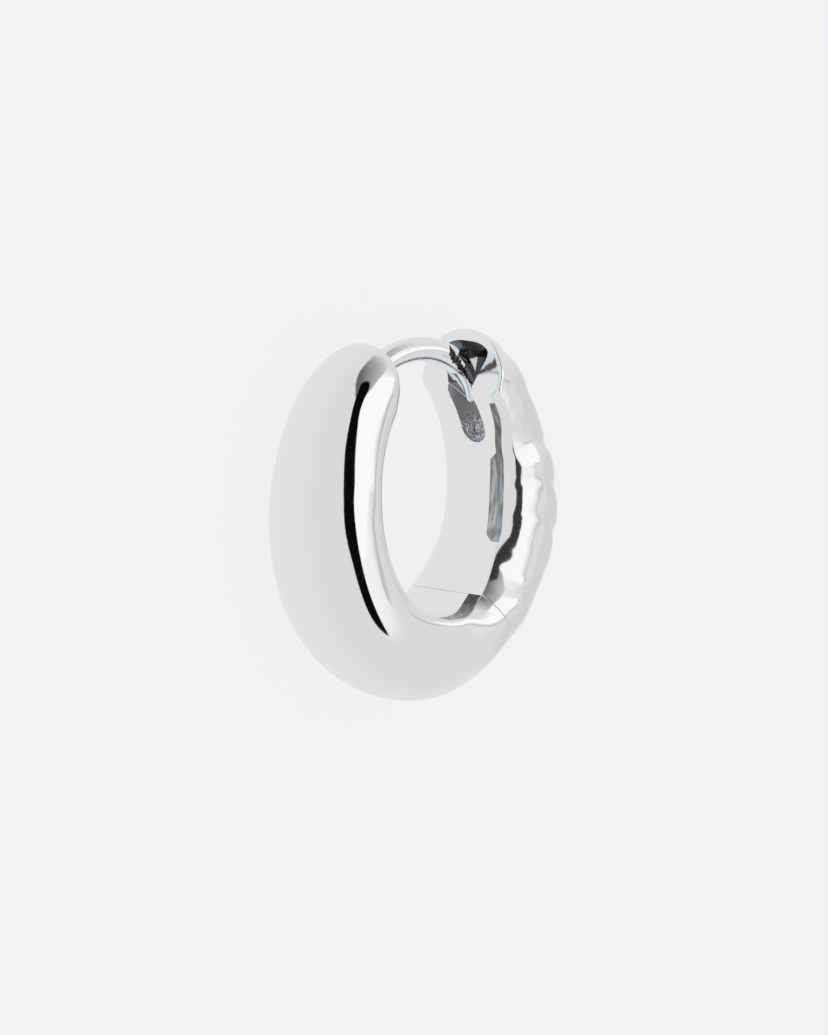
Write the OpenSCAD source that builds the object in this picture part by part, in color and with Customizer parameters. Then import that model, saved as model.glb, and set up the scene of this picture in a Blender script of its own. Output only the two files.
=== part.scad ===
// A hinged huggie earring of cast silver, lying on its side, in millimetres.
// X runs from the smooth front half to the ribbed hinged half, Y runs up to the
// two free ends and the ear post, and Z is the axis of the hoop.
// Angles go round the opening: 0 is the back, 90 the top, 180 the front.

/* [Opening] */
// Half height of the oval opening
open_v = 4.28; // [4.1:0.02:4.5]
// Half depth of the opening on its front side
open_front = 3.82; // [3.6:0.02:4.0]
// Half depth of the opening on its hinged side
open_back = 3.12; // [3.0:0.02:3.3]

/* [Front half] */
// Angle at which the front half ends, beside the ear post
front_end_at = 130; // [126:1:134]
// Lean of that end face along the band, for each millimetre of height
front_end_lean = -0.59; // [-0.65:0.01:-0.5]
// Rounding of that end
front_end_round = 0.3; // [0.2:0.05:0.4]
// Height of the widest line above the inner face
front_rim_h = 0.82; // [0.6:0.02:1]
// Width of each rounded inner edge
front_rim_w = 0.42; // [0.3:0.02:0.6]
// Height of the upper inner edge where it is tighter, near the hinge
front_low_rim_h = 0.27; // [0.2:0.01:0.82]
// Width of the upper inner edge where it is tighter, near the hinge
front_low_rim_w = 0.12; // [0.1:0.02:0.42]
// Fullness of the dome, where 2 is an ellipse
front_full = 2.23; // [2:0.01:2.5]

/* [Hinged half] */
// Angle at which the hinged half ends, at the clasp
back_end_at = 52; // [50:1:54]
// Lean of that end face along the band, for each millimetre of height
back_end_lean = 0.71; // [0.6:0.01:0.8]
// Rounding of that end
back_end_round = 0.1; // [0.06:0.02:0.14]
// Height of the widest line above the inner face
back_rim_h = 0.28; // [0.2:0.02:0.5]
// Width of the bevelled inner edge on the lower side
back_rim_w = 0.89; // [0.6:0.01:1]
// Radius of the tight inner edge on the upper side
near_edge_r = 0.08; // [0.06:0.01:0.12]
// Fullness of the dome, where 2 is an ellipse
back_full = 2.33; // [2:0.01:2.5]
// Angle between two grooves of the twisted ribs
rib_pitch = 15; // [12:1:20]
// Angle of the first groove on the crest of the band
rib_first = 33; // [30:1:45]
// Slant of the grooves, in degrees for each millimetre of width
rib_slant = 10; // [0:1:14]
// Depth of the grooves
rib_depth = 0.1; // [0:0.01:0.14]

/* [Clasp] */
// Width of the slot in the inner face
slot_w = 1.1; // [1:0.02:1.2]
// Height of the slot's round lower end
slot_low = 1.56; // [1.4:0.02:1.8]
// How far the slot's floor lies behind the hoop's centre
slot_floor = 3.35; // [3.25:0.05:3.5]
// Half width of the flared notch where it is widest
notch_half_w = 1.12; // [1:0.02:1.16]
// Height of the notch in the end face
notch_h = 1.85; // [1.8:0.01:1.9]
// Depth of the notch into the end
notch_deep = 1.25; // [1.1:0.05:1.3]
// Slope of the notch, in degrees below level
notch_slope = 32; // [30:1:36]

/* [Ear post] */
// Thickness of the post's wire
post_d = 0.86; // [0.8:0.02:0.9]
// Radius of the arch over the opening
arch_r = 4.2; // [4.1:0.05:4.3]
// Radius of the bend down into the slot
bend_r = 1.75; // [1.7:0.05:1.8]
// Thickness of the post's tapered tip
tip_d = 0.42; // [0.3:0.02:0.5]

/* [Hinge] */
// Angle of the seam between the two halves
hinge_at = -57; // [-59:1:-55]
// Height of the pin's axis above the inner face
pin_h = 2.3; // [2.25:0.05:2.35]
// Thickness of the hinge pin
pin_d = 0.4; // [0.36:0.02:0.44]
// Thickness of the three knuckles
knuckle_d = 0.76; // [0.7:0.02:0.78]
// Width of the middle knuckle
tongue_w = 0.9; // [0.8:0.05:1]
// Distance between the outer faces of the two side knuckles
knuckles_w = 2.0; // [1.9:0.05:2.05]
// Widest angle to which the hinged half opens
open_angle = 40; // [30:1:42]
// Gap at the seam
seam_gap = 0.05; // [0.04:0.01:0.08]
// Gap between the knuckles and round the pin
fit_gap = 0.05; // [0.04:0.01:0.06]

/* [Hidden] */
$fn = 48;

// Columns: angle, thickness of the band, half of its width
FRONT = [
    [front_end_at, 1.96, 1.49],
    [155, 2.74, 1.81],
    [185, 2.78, 2.09],
    [225, 2.98, 2.20],
    [270, 3.05, 2.07],
    [360 + hinge_at, 2.89, 2.10]
];
BACK = [
    [hinge_at, 2.89, 2.10],
    [-15, 3.50, 1.70],
    [25, 2.60, 1.80],
    [back_end_at, 1.85, 1.87]
];
// Upper side of the hinged half, as arcs. Columns: angle, place where the inner face ends,
// tilt where the flank starts, radius of the flank, tilt where it ends
FLANK = [
    [hinge_at, 1.56, 33, 1.1, 60],
    [-50, 1.47, 38, 1.6, 68],
    [-43, 1.38, 48, 2.2, 74],
    [-35, 1.29, 53, 2.2, 82],
    [-20, 1.22, 41, 1.4, 80],
    [0, 1.10, 30, 1.0, 72],
    [20, 1.15, 30, 0.77, 60],
    [35, 1.40, 30, 0.78, 56],
    [back_end_at, 1.50, 30, 0.79, 53]
];
crown_tilt = 125;
front_step = 4;
back_step = 2.5;
// Tilts of the surface at the points of a section: 0 is the inner face, 90 the side, 180 the crown
UPPER = [0, 20, 35, 45, 53, 60, 66, 72, 78, 84, 90, 100, 110, 120, 130, 140, 150, 160, 170, 180];
LOWER = [171, 161, 150, 139, 128, 117, 107, 98, 90, 72, 54, 36, 18, 0];
// Degrees over which the section changes at the seam, over which an end face leans, and over
// which the hinged half's upper side and the tighter edge fade in on the front half
style_reach = 50;
lean_reach = 40;
flank_reach = 25;
low_from = 225;
low_to = 265;
ribs_fade_from = -38;
ribs_fade_to = -12;
ribs_end_fade = 9;

// Height and width of the rounded inner edge, fullness of the dome
FRONT_STYLE = [front_rim_h, front_rim_w, front_full];
LOW_STYLE = [front_low_rim_h, front_low_rim_w, front_full];
BACK_STYLE = [back_rim_h, back_rim_w, back_full];

// Smooth step from 0 to 1
function ease(x) = let(k = min(max(x, 0), 1)) k * k * (3 - 2 * k);
function sgn(x) = x < 0 ? -1 : 1;

// Smooth curve through column c of a table, with no overshoot between its rows
function rise(tab, i, c) = (tab[i + 1][c] - tab[i][c]) / (tab[i + 1][0] - tab[i][0]);
function slope(tab, i, c) =
    i == 0 ? rise(tab, 0, c) :
    i == len(tab) - 1 ? rise(tab, i - 1, c) :
    let(a = rise(tab, i - 1, c), b = rise(tab, i, c)) a * b <= 0 ? 0 : 2 * a * b / (a + b);
function row_of(tab, x, i = 0) = i >= len(tab) - 2 || x < tab[i + 1][0] ? i : row_of(tab, x, i + 1);
function curve(tab, c, x) =
    let(i = row_of(tab, x), d = tab[i + 1][0] - tab[i][0], u = (x - tab[i][0]) / d)
    tab[i][c] * (2 * u * u * u - 3 * u * u + 1) + tab[i + 1][c] * (3 * u * u - 2 * u * u * u)
    + slope(tab, i, c) * d * (u * u * u - 2 * u * u + u) + slope(tab, i + 1, c) * d * (u * u * u - u * u);

// The inner oval and its outward normal
function oval_x(at) = cos(at) < 0 ? open_front : open_back;
function oval(at) = [oval_x(at) * cos(at), open_v * sin(at)];
function outward(at) = let(v = [cos(at) / oval_x(at), sin(at) / open_v]) v / norm(v);
function along(at) = let(n = outward(at)) [-n.y, n.x];

// One groove of the twisted ribs, 0 between grooves and 1 in a groove's middle
function groove(at, z) =
    let(turn = (at - rib_first - rib_slant * z) * 360 / rib_pitch)
    pow((1 + cos(turn)) / 2, 2) * ease((at - ribs_fade_from) / (ribs_fade_to - ribs_fade_from))
    * ease((back_end_at - at) / ribs_end_fade);

// A quarter of a superellipse at a tilt: [height, place across the width]
function quarter(a, b, full, tilt) =
    let(p = pow(a * abs(cos(tilt)), 1 / (full - 1)), q = pow(b * sin(tilt), 1 / (full - 1)),
        size = pow(pow(p, full) + pow(q, full), 1 / full))
    [-sgn(cos(tilt)) * a * p / size, b * q / size];

// A dome over a rounded inner edge. style is the edge's height and width and the dome's fullness.
function round_side(t, w, style, tilt) =
    tilt < 90 ? [style[0], w - style[1]] + quarter(style[0], style[1], 2, tilt)
    : [style[0], 0] + quarter(t - style[0], w, style[2], tilt);

// How far an arc of radius 1 that runs from tilt a to tilt b has come at a tilt
function arc(a, b, tilt) = let(f = min(max(tilt, a), b)) [cos(a) - cos(f), sin(f) - sin(a)];

// Upper side of the hinged half: a tight edge, a gentle flank, a shoulder and the crown
function arc_side(at, t, tilt) =
    let(start = curve(FLANK, 2, at), r = curve(FLANK, 3, at), end = curve(FLANK, 4, at),
        base = [0, curve(FLANK, 1, at)],
        rest = [t, 0] - base - near_edge_r * arc(0, start, start) - r * arc(start, end, end),
        m = arc(end, crown_tilt, crown_tilt), n = arc(crown_tilt, 180, 180), det = m.x * n.y - m.y * n.x)
    base + near_edge_r * arc(0, start, tilt) + r * arc(start, end, tilt)
    + (rest.x * n.y - rest.y * n.x) / det * arc(end, crown_tilt, tilt)
    + (m.x * rest.y - m.y * rest.x) / det * arc(crown_tilt, 180, tilt);

// Section of the band: points [height above the inner face, place across the width]
function section(at, t, w, lower, rib) =
    let(low = ease(((at < 0 ? at + 360 : at) - low_from) / (low_to - low_from)),
        upper = FRONT_STYLE * (1 - low) + LOW_STYLE * low,
        share = at > 90 ? 0 : ease(1 - (hinge_at - at) / flank_reach),
        above = [for (f = UPPER) (1 - share) * round_side(t, w, upper, f)
            + share * arc_side(max(at, hinge_at), t, f)],
        below = [for (f = LOWER) let(p = round_side(t, w, lower, f)) [p.x, -p.y]],
        points = concat(above, below),
        faces = concat([for (f = UPPER) [-cos(f), sin(f)]], [for (f = LOWER) [-cos(f), -sin(f)]]))
    [for (i = [0 : len(points) - 1]) let(p = points[i]) p - rib * groove(at, p.y) * ease(p.x / 1.2) * faces[i]];

// A ring of points at an angle. shrink pulls it in on all sides and push moves it out of the end.
function ring(tab, at, lean, rib = 0, shrink = 0, push = 0) =
    let(turn = at > 180 ? at - 360 : at,
        k = turn > 90 ? 0 : ease((turn - hinge_at + style_reach) / (2 * style_reach)),
        t = curve(tab, 1, at), w = curve(tab, 2, at),
        d = outward(at) + lean * along(at), side = [d.y, -d.x] / norm(d), o = oval(at))
    [for (p = section(turn, t, w, FRONT_STYLE * (1 - k) + BACK_STYLE * k, rib))
        let(h = shrink + p[0] * (t - 2 * shrink) / t, z = p[1] * (w - shrink) / w, q = o + h * d + push * side)
        [q.x, q.y, z]];

// Faces round a stack of rings, closed by its first and last ring
function skin(n, m) = concat(
    [[for (j = [0 : n - 1]) j]],
    [for (i = [0 : m - 2], j = [0 : n - 1]) let(k = (j + 1) % n)
        each [[i * n + j, (i + 1) * n + j, i * n + k], [i * n + k, (i + 1) * n + j, (i + 1) * n + k]]],
    [[for (j = [n - 1 : -1 : 0]) (m - 1) * n + j]]
);

front_lean = function(at) front_end_lean * ease(1 - (at - front_end_at) / lean_reach);
back_lean = function(at) back_end_lean * ease(1 - (back_end_at - at) / lean_reach);
front_rings = concat(
    [for (a = [90 : -22.5 : 22.5])
        ring(FRONT, front_end_at, front_end_lean, 0, front_end_round * (1 - cos(a)),
            front_end_round * sin(a) - front_end_round)],
    [for (at = [front_end_at + 7 : front_step : 360 + hinge_at - 1]) ring(FRONT, at, front_lean(at))],
    [ring(FRONT, 360 + hinge_at, 0)]
);
back_rings = concat(
    [for (at = [hinge_at : back_step : back_end_at - 2.5]) ring(BACK, at, back_lean(at), rib_depth)],
    [for (a = [15 : 25 : 90])
        ring(BACK, back_end_at, back_end_lean, rib_depth, back_end_round * (1 - cos(a)),
            back_end_round * (1 - sin(a)))]
);
band_points = [for (r = concat(front_rings, back_rings)) each r];
low = [for (k = [0 : 2]) min([for (p = band_points) p[k]])];
high = [for (k = [0 : 2]) max([for (p = band_points) p[k]])];
seat = [-(low.x + high.x) / 2, -(low.y + high.y) / 2, -low.z];

hinge_dir = let(n = outward(hinge_at)) atan2(n.y, n.x);
pin_place = oval(hinge_at) + pin_h * outward(hinge_at);
arch_centre = [-0.4, 0.85];
arch_from = 59;
arch_to = 126;
bend_centre = arch_centre + (arch_r - bend_r) * [cos(arch_from), sin(arch_from)];
bend_to = 8;

// A ring round the post's wire, on a bend of radius r, moved on by push towards the tip
function wire_ring(centre, r, at, wire_r, push = 0) =
    [for (q = [0 : 22.5 : 337.5])
        let(h = r - wire_r * sin(q), p = centre + h * [cos(at), sin(at)] + push * [sin(at), -cos(at)])
        [p.x, p.y, wire_r * cos(q)]];
post_rings = concat(
    [for (at = [arch_to : -5 : arch_from + 1]) wire_ring(arch_centre, arch_r, at, post_d / 2)],
    [for (at = [arch_from : -6.5 : bend_to])
        wire_ring(bend_centre, bend_r, at, (tip_d + (post_d - tip_d) * (at - bend_to) / (arch_from - bend_to)) / 2)],
    [for (a = [18 : 18 : 72]) wire_ring(bend_centre, bend_r, bend_to, tip_d / 2 * cos(a), tip_d / 2 * sin(a))]
);

// One side of the notch's outline: height up the end face, half width
notch_side = [[0.25, slot_w / 2 + 0.02], [0.5, slot_w / 2 + 0.08], [notch_h - 0.3, notch_half_w],
    [notch_h, notch_half_w / 2]];

// The notch's outline in the end face, moved into the metal by s
function notch_ring(s) =
    let(d = outward(back_end_at) + back_end_lean * along(back_end_at),
        o = oval(back_end_at) + s * [cos(notch_slope), -sin(notch_slope)],
        far_side = [for (i = [3 : -1 : 0]) [notch_side[i][0], -notch_side[i][1]]])
    [for (p = concat(notch_side, far_side)) let(q = o + p[0] * d / norm(d)) [q.x, q.y, p[1]]];

echo(seat = seat, pin = [pin_place.x + seat.x, pin_place.y + seat.y, seat.z]);
echo(size = high - low, hinge_dir = hinge_dir);

// Lays the earring on its side, centred over the origin
module lie() { translate(seat) children(); }

// Puts children at the pin: x points out of the hoop, y along the band to the hinged half
module at_pin() { translate([pin_place.x, pin_place.y, 0]) rotate([0, 0, hinge_dir]) children(); }

module band(rings) {
    polyhedron([for (r = rings) each r], skin(len(rings[0]), len(rings)), convexity = 6);
}

module block(x0, x1, y0, y1, z0, z1) {
    translate([x0, y0, z0]) cube([x1 - x0, y1 - y0, z1 - z0]);
}

module both_sides() {
    children();
    mirror([0, 0, 1]) children();
}

module knuckle(d, z0, z1) { translate([0, 0, z0]) cylinder(d = d, h = z1 - z0); }

// Room for the outer corner of the hinged half as it swings open
module swing_groove() {
    lip = BACK[0][1] - pin_h + 0.03;
    floor_x = lip * cos(open_angle + 2);
    floor_y = -lip * sin(open_angle + 2);
    linear_extrude(height = 3) polygon([[0.03, 1], [0.03, -0.04], [floor_x, floor_y], [2, floor_y], [2, 1]]);
}

module ear_post() { band(post_rings); }

module front_hoop() {
    color("#d9dbdd") lie() {
        difference() {
            union() {
                difference() {
                    band(front_rings);
                    at_pin() {
                        block(-6, 2, -seam_gap / 2, 3, -3, 3);
                        both_sides() translate([0, 0, tongue_w / 2]) swing_groove();
                        both_sides() knuckle(knuckle_d + 2 * fit_gap, tongue_w / 2, knuckles_w / 2 + fit_gap);
                    }
                }
                at_pin() knuckle(knuckle_d, -tongue_w / 2, tongue_w / 2);
            }
            at_pin() knuckle(pin_d + 0.02, -knuckles_w / 2, knuckles_w / 2);
        }
        ear_post();
    }
}

// The flared notch, cut slanting into the end face
module notch() { band([notch_ring(notch_deep), notch_ring(-1)]); }

// The straight slot for the post's tip, open to the inside of the hoop
module slot() {
    mid = slot_low + slot_w / 2;
    translate([0.5, mid, 0]) rotate([0, 90, 0]) cylinder(d = slot_w, h = slot_floor - 0.5);
    block(0.5, slot_floor, mid, 3.9, -slot_w / 2, slot_w / 2);
}

module back_hoop() {
    color("#cfd2d5") lie() difference() {
        union() {
            difference() {
                band(back_rings);
                at_pin() {
                    block(-6, 2, -3, seam_gap / 2, -3, 3);
                    block(-knuckle_d / 2 - 2 * fit_gap, 2, -1, knuckle_d / 2 + 2 * fit_gap,
                        -tongue_w / 2 - fit_gap, tongue_w / 2 + fit_gap);
                }
                notch();
                slot();
            }
            at_pin() both_sides() knuckle(knuckle_d, tongue_w / 2 + fit_gap, knuckles_w / 2);
        }
        at_pin() knuckle(pin_d + 2 * fit_gap, -knuckles_w / 2 + 0.06, knuckles_w / 2 - 0.06);
    }
}

module hinge_pin() {
    color("#bfc3c7") lie() at_pin() knuckle(pin_d, -knuckles_w / 2 + 0.1, knuckles_w / 2 - 0.1);
}

front_hoop();
back_hoop();
hinge_pin();
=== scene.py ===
# %% [markdown]
# # A hinged huggie earring in polished silver
# The hoop is two cast halves on a small hinge. The front half is a smooth dome and carries the curved ear
# post. The back half has slanting ribs and swings open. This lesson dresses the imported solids: it sweeps
# both halves again, much finer, cuts the clasp into them, gives them their silver, and lights them as a
# mirror needs.

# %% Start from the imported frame
import math

import bpy
import numpy as np
from mathutils import Matrix, Vector


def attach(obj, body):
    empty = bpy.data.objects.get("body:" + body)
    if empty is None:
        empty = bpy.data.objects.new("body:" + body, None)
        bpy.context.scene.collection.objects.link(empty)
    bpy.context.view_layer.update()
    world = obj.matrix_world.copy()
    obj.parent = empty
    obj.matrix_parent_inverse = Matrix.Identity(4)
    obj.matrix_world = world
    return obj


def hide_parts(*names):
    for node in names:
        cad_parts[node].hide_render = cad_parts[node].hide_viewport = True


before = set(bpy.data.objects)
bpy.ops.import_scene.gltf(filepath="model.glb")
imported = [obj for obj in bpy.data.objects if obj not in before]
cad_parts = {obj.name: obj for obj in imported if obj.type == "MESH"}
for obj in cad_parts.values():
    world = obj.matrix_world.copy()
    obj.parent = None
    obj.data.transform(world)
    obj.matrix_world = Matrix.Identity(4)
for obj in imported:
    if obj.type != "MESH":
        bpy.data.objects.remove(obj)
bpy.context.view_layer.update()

# %% [markdown]
# ## Sizes
# A caster would start from a few measures of the wax: the oval opening, and how thick and how wide the band
# is at a handful of places. They are in millimetres, with the hoop's centre at zero and its axis along Z.
# Angles go round the opening: 0 is the back, 90 the top, 180 the front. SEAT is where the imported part's
# centre stands. What measures a single piece or surface comes later, where that is made.

# %% The measures of the hoop
MM = 0.001
OPEN_V, OPEN_FRONT, OPEN_BACK = 4.28, 3.82, 3.12
SEAT = np.array([0.0385, 0.8763, 2.2])
FRONT_END, BACK_END, HINGE = 130.0, 52.0, -57.0
# columns: angle, thickness of the band, half of its width
FRONT = np.array([[FRONT_END, 1.96, 1.49], [155, 2.74, 1.81], [185, 2.78, 2.09],
                  [225, 2.98, 2.20], [270, 3.05, 2.07], [360 + HINGE, 2.89, 2.10]])
BACK = np.array([[HINGE, 2.89, 2.10], [-15, 3.50, 1.70], [25, 2.60, 1.80], [BACK_END, 1.85, 1.87]])
# lean of the end face, height and width of the inner edge, fullness of the dome
FRONT_STYLE = (-0.59, 0.82, 0.42, 2.23)
BACK_STYLE = (0.71, 0.28, 0.89, 2.33)
print("the band is at most", FRONT[:, 1].max(), "mm thick in front and", BACK[:, 1].max(), "mm behind")

# %% [markdown]
# ## Smooth curves through the measures
# Between the measured places the real band swells and thins evenly. A straight line from place to place
# would kink there, and a mirror shows a kink as a line. The usual smooth curves overshoot and make a bulge
# beside a steep part. This one takes a slope at each place that can't overshoot.

# %% Curve through a table


def ease(x):
    """Smooth step from 0 to 1."""
    x = np.clip(x, 0, 1)
    return x * x * (3 - 2 * x)


def curve(table, column, at):
    """The table's column at an angle, smooth and with no overshoot."""
    x, y = table[:, 0], table[:, column]
    rise = np.diff(y) / np.diff(x)
    slope = np.zeros(len(x))
    slope[0], slope[-1] = rise[0], rise[-1]
    for i in range(1, len(x) - 1):
        a, b = rise[i - 1], rise[i]
        slope[i] = 0 if a * b <= 0 else 2 * a * b / (a + b)
    i = min(max(int(np.searchsorted(x, at, side="right")) - 1, 0), len(x) - 2)
    d = x[i + 1] - x[i]
    u = (at - x[i]) / d
    return (y[i] * (2 * u**3 - 3 * u**2 + 1) + y[i + 1] * (3 * u**2 - 2 * u**3)
            + slope[i] * d * (u**3 - 2 * u**2 + u) + slope[i + 1] * d * (u**3 - u**2))


print("thickness at the front:", round(float(curve(FRONT, 1, 180)), 2), "mm")

# %% [markdown]
# ## The opening
# The inside of the hoop is an oval that bulges more in front than behind. It is drawn as two half ellipses
# that meet at the top and the bottom. Everything on the band is then placed from this oval: outwards from
# it, or along it.

# %% The oval and its directions


def turned(degrees):
    """A unit vector at that angle."""
    return np.array([math.cos(math.radians(degrees)), math.sin(math.radians(degrees))])


def half_depth(at):
    """Half of the opening's depth, on the side of that angle."""
    return OPEN_FRONT if turned(at)[0] < 0 else OPEN_BACK


def inner_oval(at):
    """The point of the inner face at that angle."""
    c, s = turned(at)
    return np.array([half_depth(at) * c, OPEN_V * s])


def outward(at):
    """The direction out of the opening there."""
    c, s = turned(at)
    v = np.array([c / half_depth(at), s / OPEN_V])
    return v / np.linalg.norm(v)


def along(at):
    """The direction along the band there, towards larger angles."""
    n = outward(at)
    return np.array([-n[1], n[0]])


print("opening, mm:", round(OPEN_FRONT + OPEN_BACK, 2), "x", 2 * OPEN_V)

# %% [markdown]
# ## The plain side of the band
# Each place along the band is one closed outline, a ring of points: a full dome outside, rounded edges, and
# a flat inner face. A Bezier curve with a bevel object could sweep a band too, but it can't change its
# outline along the way, so the rings are worked out here. A point of the outline is named by the tilt of
# the surface there: 0 is the flat inner face, 90 the side, 180 the crown. Two rounded shapes given by tilt
# can be mixed in any share and stay smooth, and a mirror needs that. The plain side is a full dome over a
# rounded edge.

# %% A dome over a rounded edge
# steps of the tilt, closest on the flank and the side
TILTS = np.concatenate([np.arange(0, 20, 2), np.arange(20, 28, 4), np.arange(28, 100, 1.5),
                        np.arange(100, 181, 2.5)])
COS, SIN = np.cos(np.radians(TILTS)), np.sin(np.radians(TILTS))


def quarter(a, b, full):
    """A quarter of a superellipse for every tilt, as heights and places across the width."""
    p, q = (a * np.abs(COS)) ** (1 / (full - 1)), (b * SIN) ** (1 / (full - 1))
    size = (p**full + q**full) ** (1 / full)
    return np.array([-np.sign(COS) * a * p / size, b * q / size])


def round_side(thick, half_w, rim_h, rim_w, full):
    """A dome over a rounded inner edge."""
    rim = quarter(rim_h, rim_w, 2) + [[rim_h], [half_w - rim_w]]
    dome = quarter(thick - rim_h, half_w, full) + [[rim_h], [0]]
    return np.where(TILTS < 90, rim, dome)


print("points on one side of a ring:", len(TILTS))

# %% [markdown]
# ## The upper side of the ribbed half
# Here the caster's dome isn't even. A tight inner edge is followed by a long gentle flank, a shoulder and
# the crown, and near the clasp a crease parts the flank from the shoulder. One superellipse can't bend like
# that, so this side is a chain of arcs, each of which starts with the tilt at which the last one ended. Two
# of them get the radii that make the chain end on the crown. The inner face is eased off beside the edge,
# so that it doesn't nip the ear.

# %% A chain of arcs
# columns: angle, where the inner face ends, tilt where the flank starts, its radius, tilt where it ends
FLANK = np.array([[HINGE, 1.56, 33, 1.1, 60], [-50, 1.47, 38, 1.6, 68], [-43, 1.38, 48, 2.2, 74],
                  [-35, 1.29, 53, 2.2, 82], [-20, 1.22, 41, 1.4, 80], [0, 1.10, 30, 1.0, 72],
                  [20, 1.15, 30, 0.77, 60], [35, 1.40, 30, 0.78, 56], [BACK_END, 1.50, 30, 0.79, 53]])
EDGE_R, CROWN_TILT = 0.08, 125
# how wide the inner face is eased off, up to a tilt of EASED degrees. columns: angle, width
EASE_OFF = np.array([[-40, 0], [-29, 0.05], [-21, 0.6], [13, 0.55], [18, 0.25], [40, 0.3], [BACK_END, 0.1]])
EASED = 16
# columns: angle, degrees by which the surface turns in the crease
CREASE = np.array([[10, 0], [21, 14], [BACK_END, 16]])
CREASE_R = 0.03


def arc(a, b, radius):
    """An arc from tilt a to tilt b, for every tilt and at last for b itself."""
    tilt = np.radians(np.clip(np.append(TILTS, b), a, b))
    a = math.radians(a)
    return radius * np.array([math.cos(a) - np.cos(tilt), np.sin(tilt) - math.sin(a)])


def arc_side(at, thick):
    """The upper side of the ribbed half: edge, flank, crease, shoulder and crown."""
    z0, start, flank_r, end = (curve(FLANK, i, at) for i in range(1, 5))
    eased = curve(EASE_OFF, 1, max(at, EASE_OFF[0, 0]))
    near = arc(0, EASED, eased / math.sin(math.radians(EASED))) + arc(EASED, start, EDGE_R)
    crease = end + curve(CREASE, 1, max(at, CREASE[0, 0]))
    near += arc(start, end, flank_r) + arc(end, crease, CREASE_R) + [[0], [z0 - eased]]
    shoulder, crown = arc(crease, CROWN_TILT, 1), arc(CROWN_TILT, 180, 1)
    ends = np.stack([shoulder[:, -1], crown[:, -1]], 1)
    radii = np.linalg.solve(ends, [thick - near[0, -1], -near[1, -1]])
    return (near + radii[0] * shoulder + radii[1] * crown)[:, :-1]


print("height of the band at 0 degrees:", round(float(arc_side(0, curve(BACK, 1, 0))[0, -1]), 2), "mm")

# %% [markdown]
# ## The ribs
# The back half's ribs are shallow grooves that run slantwise over the dome, as if the band were twisted.
# They fade out towards the hinge, just before the clasp and down the flank. A displacement map could draw
# them, but the mesh is fine enough to carry them itself: each point sinks by a cosine wave of its angle.

# %% Depth of a groove
# degrees from groove to groove, angle of one groove, degrees it runs on for each mm of width, depth in mm
RIB_PITCH, RIB_FIRST, RIB_SLANT, RIB_DEPTH = 15, 33, 10, 0.1
# degrees where the ribs begin beyond the hinge, and over which they rise and fade
RIBS_FROM, RIBS_RISE, RIBS_END_FADE = -38, 26, 9
# share of the depth that comes on the flank, and over what height
FLANK_SHARE, FLANK_RISE = 0.25, 0.6
# height above which the rest comes, and over what height
CROWN_FROM, CROWN_RISE = 1.3, 1.4


def groove(at, z):
    """How deep in a groove a point of the ribs lies, from 0 to 1."""
    turn = np.radians((at - RIB_FIRST - RIB_SLANT * z) * 360 / RIB_PITCH)
    fade = ease((at - RIBS_FROM) / RIBS_RISE) * ease((BACK_END - at) / RIBS_END_FADE)
    return ((1 + np.cos(turn)) / 2) ** 2 * fade


def groove_height(h):
    """The share of a groove's depth that is cut at a height above the inner face."""
    return FLANK_SHARE * ease(h / FLANK_RISE) + (1 - FLANK_SHARE) * ease((h - CROWN_FROM) / CROWN_RISE)


print("grooves from hinge to clasp:", int((BACK_END - RIBS_FROM) / RIB_PITCH))

# %% [markdown]
# ## One ring
# The two sides and the inner face make one ring. It stands across the band, and at the ends it leans as the
# end face does. The sections of both halves pass into each other across the hinge, so that no step shows
# there. A ring can also shrink and move along the band, which rounds off an end over a few rings.

# %% Sides joined to a ring
TOP = 90
FLAT_PARTS = 16
# height and width of the front half's upper inner edge near the hinge, and fullness of the dome there
LOW_STYLE = (0.27, 0.12, 2.23)
# angle from which the front half passes into that, and over how many degrees
LOW_FROM, LOW_REACH = 225, 40
# degrees on each side of the hinge over which the style changes, and over which the flank fades beyond it
STYLE_REACH, FLANK_REACH = 50, 25


def mixed(a, b, share):
    """Styles between a, at share 0, and b, at share 1."""
    return [p * (1 - share) + q * share for p, q in zip(a, b)]


def outline(at, thick, half_w, style, ribs):
    """Heights above the inner face and places across the width, once round the section."""
    far = round_side(thick, half_w, *style)
    low = float(ease((at % 360 - LOW_FROM) / LOW_REACH))
    near = round_side(thick, half_w, *mixed(FRONT_STYLE[1:], LOW_STYLE, low))
    share = 0.0 if at > TOP else float(ease(1 - (HINGE - at) / FLANK_REACH))
    near = near * (1 - share) + arc_side(max(at, HINGE), thick) * share
    flat = np.linspace(-far[1, 0], near[1, 0], FLAT_PARTS + 1)[1:-1]
    h = np.concatenate([near[0], far[0, -2::-1], 0 * flat])
    z = np.concatenate([near[1], -far[1, -2::-1], flat])
    out = np.concatenate([-COS, -COS[-2::-1], 0 * flat])
    side = np.concatenate([SIN, -SIN[-2::-1], 0 * flat])
    depth = ribs * groove(at, z) * groove_height(h)
    return h - depth * out, z - depth * side


def band_ring(table, at, lean, ribs=0.0, shrink=0.0, push=0.0):
    """Points round the band at an angle. push moves them along the band, towards smaller angles."""
    turn = at - 360 if at > 180 else at
    share = 0.0 if turn > TOP else float(ease((turn - HINGE + STYLE_REACH) / (2 * STYLE_REACH)))
    style = mixed(FRONT_STYLE[1:], BACK_STYLE[1:], share)
    thick, half_w = curve(table, 1, at), curve(table, 2, at)
    h, z = outline(turn, thick, half_w, style, ribs)
    d = outward(at) + lean * along(at)
    side = np.array([d[1], -d[0]]) / np.linalg.norm(d)
    h = shrink + h * (thick - 2 * shrink) / thick
    z = z * (half_w - shrink) / half_w
    p = inner_oval(at) + h[:, None] * d + push * side
    return np.column_stack([p, z])


RING = len(band_ring(FRONT, 200, 0))
print("points in a ring:", RING)

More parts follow.
